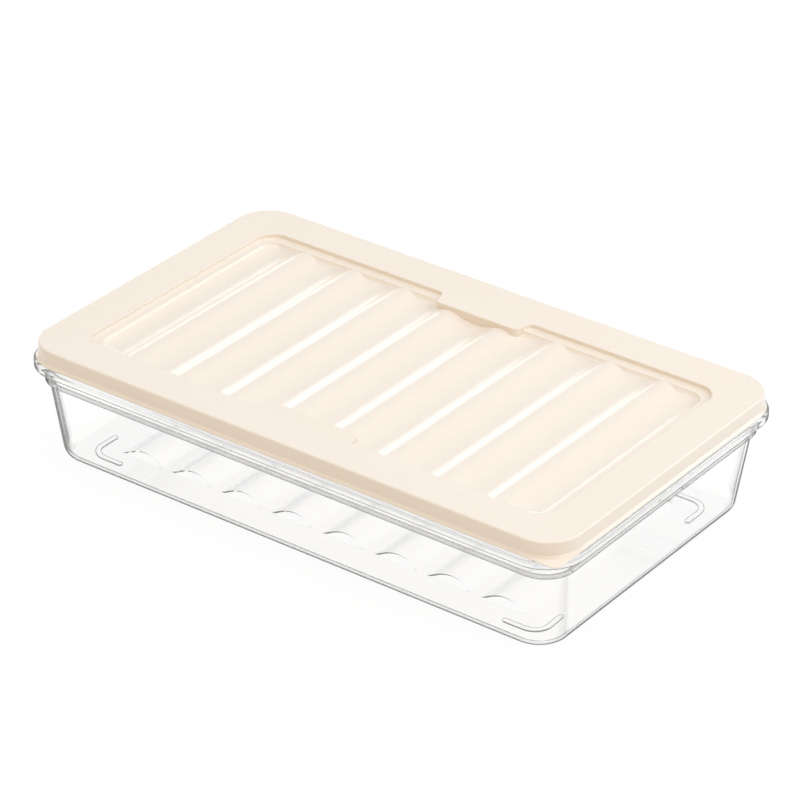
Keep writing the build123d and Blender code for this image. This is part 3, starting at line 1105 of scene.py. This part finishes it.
# %% [markdown]
# The floor is one large pale sheet. For the light that falls on the object it is plain white paint. For the
# camera, for reflections and for what is seen through the plastic it glows white instead, with a thin coat
# of the same paint left over it, which keeps the object's soft shadow. Clear things are photographed on a
# lit patch in darker surroundings, so that their edges draw themselves in grey. So far from the object the
# glow is weaker, but only for light that has come through the plastic.

# %% White floor
FLOOR_HALF = 6.0
FLOOR_BELOW = 0.1 * MM
FLOOR_PAINT = 0.8
FLOOR_GLOW = 0.93
SHADOW_PAINT = 0.09
PATCH_GLOW = 1.04
LIT_RADIUS = 0.7
DARK_RADIUS = 1.4
DARK_GLOW = 0.35

bpy.ops.object.select_all(action="DESELECT")
bpy.ops.mesh.primitive_plane_add(size=2 * FLOOR_HALF, location=(0, 0, -FLOOR_BELOW))
floor = bpy.context.object
floor.name = "floor"
white = bpy.data.materials.new("white_floor")
white.use_nodes = True
tree = white.node_tree
tree.nodes.clear()
seen = add_node(tree, "ShaderNodeLightPath").outputs
place = add_node(tree, "ShaderNodeTexCoord").outputs["Object"]
reach = add_node(tree, "ShaderNodeVectorMath", place, operation="LENGTH").outputs["Value"]
patch = spread(tree, reach, PATCH_GLOW, DARK_GLOW, start=LIT_RADIUS, end=DARK_RADIUS)
strength = blend(tree, seen["Is Transmission Ray"], FLOOR_GLOW, patch, kind="FLOAT")
glow = add_node(tree, "ShaderNodeEmission", Color=grey(1), Strength=strength)
shade = add_node(tree, "ShaderNodeBsdfDiffuse", Color=grey(SHADOW_PAINT))
paint = add_node(tree, "ShaderNodeBsdfDiffuse", Color=grey(FLOOR_PAINT))
lit = add_node(tree, "ShaderNodeAddShader", shade.outputs["BSDF"], glow.outputs["Emission"])
looked_at = largest(tree, *(seen[f"Is {kind} Ray"] for kind in ("Camera", "Glossy", "Transmission")))
sheet = add_node(tree, "ShaderNodeMixShader", looked_at, paint.outputs["BSDF"], lit.outputs["Shader"])
out = add_node(tree, "ShaderNodeOutputMaterial")
feed(tree, sheet.outputs["Shader"], out.inputs["Surface"])
floor.data.materials.append(white)
print("floor is", 2 * FLOOR_HALF, "m wide")

# %% [markdown]
# Studio light. A big soft box on the right gives the lid its bright falling slopes, and one over the front
# lights the border evenly. A narrow strip behind on the right brightens the lid's right side. A long low
# strip behind on the left is mirrored by the rising slope of each flute, which draws the thin white
# stripes.

# %% Lamps
LAMP_AIM = (0, 0, 0.05)
STRIP_AIM = (0, 0, 0.06)


def soft_box(name, place, aim, width, height, radiance):
    """A rectangular area lamp that faces the aim point. Radiance 1 looks white."""
    lamp = bpy.data.lights.new(name, "AREA")
    lamp.shape = "RECTANGLE"
    lamp.size = width
    lamp.size_y = height
    lamp.energy = radiance * math.pi * width * height
    holder = bpy.data.objects.new(name, lamp)
    bpy.context.scene.collection.objects.link(holder)
    holder.location = place
    holder.rotation_mode = "QUATERNION"
    holder.rotation_quaternion = (Vector(place) - Vector(aim)).to_track_quat("Z", "Y")
    holder.visible_transmission = False


soft_box("key_right", (1.25, 0.25, 1.0), LAMP_AIM, width=1.2, height=1.2, radiance=1.4)
soft_box("top", (0, -0.2, 1.6), LAMP_AIM, width=1.0, height=1.0, radiance=2.6)
soft_box("strip_back_right", (0.8, 1.12, 0.95), STRIP_AIM, width=0.35, height=0.9, radiance=4.0)
soft_box("strip_back_left", (-1.06, 1.06, 0.24), STRIP_AIM, width=2.2, height=0.4, radiance=2.1)

# %% [markdown]
# The world fills the rest with soft light. It goes from warm in front and below, as from a cream card, to a
# cool grey above and behind. A picture of a studio could light it too, but two colours and a fade are
# enough here and can be tuned one by one. What is seen through the plastic is a plain mid grey instead,
# which keeps the walls from taking on the card's colour.

# %% World
WORLD_BACK = (0.54, 0.56, 0.60, 1)
WORLD_FRONT = (0.95, 0.71, 0.37, 1)
WORLD_THROUGH = 0.5
UP_AND_BACK = (0, 0.75, 0.66)
CARD_UNTIL = -0.7
SKY_FROM = 0.3

world = bpy.data.worlds.new("studio")
world.use_nodes = True
bpy.context.scene.world = world
tree = world.node_tree
toward = add_node(tree, "ShaderNodeTexCoord").outputs["Generated"]
along = add_node(tree, "ShaderNodeVectorMath", toward, UP_AND_BACK, operation="DOT_PRODUCT")
fade = spread(tree, along.outputs["Value"], 0, 1, start=CARD_UNTIL, end=SKY_FROM)
card = blend(tree, fade, WORLD_FRONT, WORLD_BACK)
seen = add_node(tree, "ShaderNodeLightPath").outputs
colour = blend(tree, seen["Is Transmission Ray"], card, grey(WORLD_THROUGH))
feed(tree, colour, tree.nodes["Background"].inputs["Color"])
bpy.context.scene.view_settings.view_transform = "Standard"
print("world:", world.name)
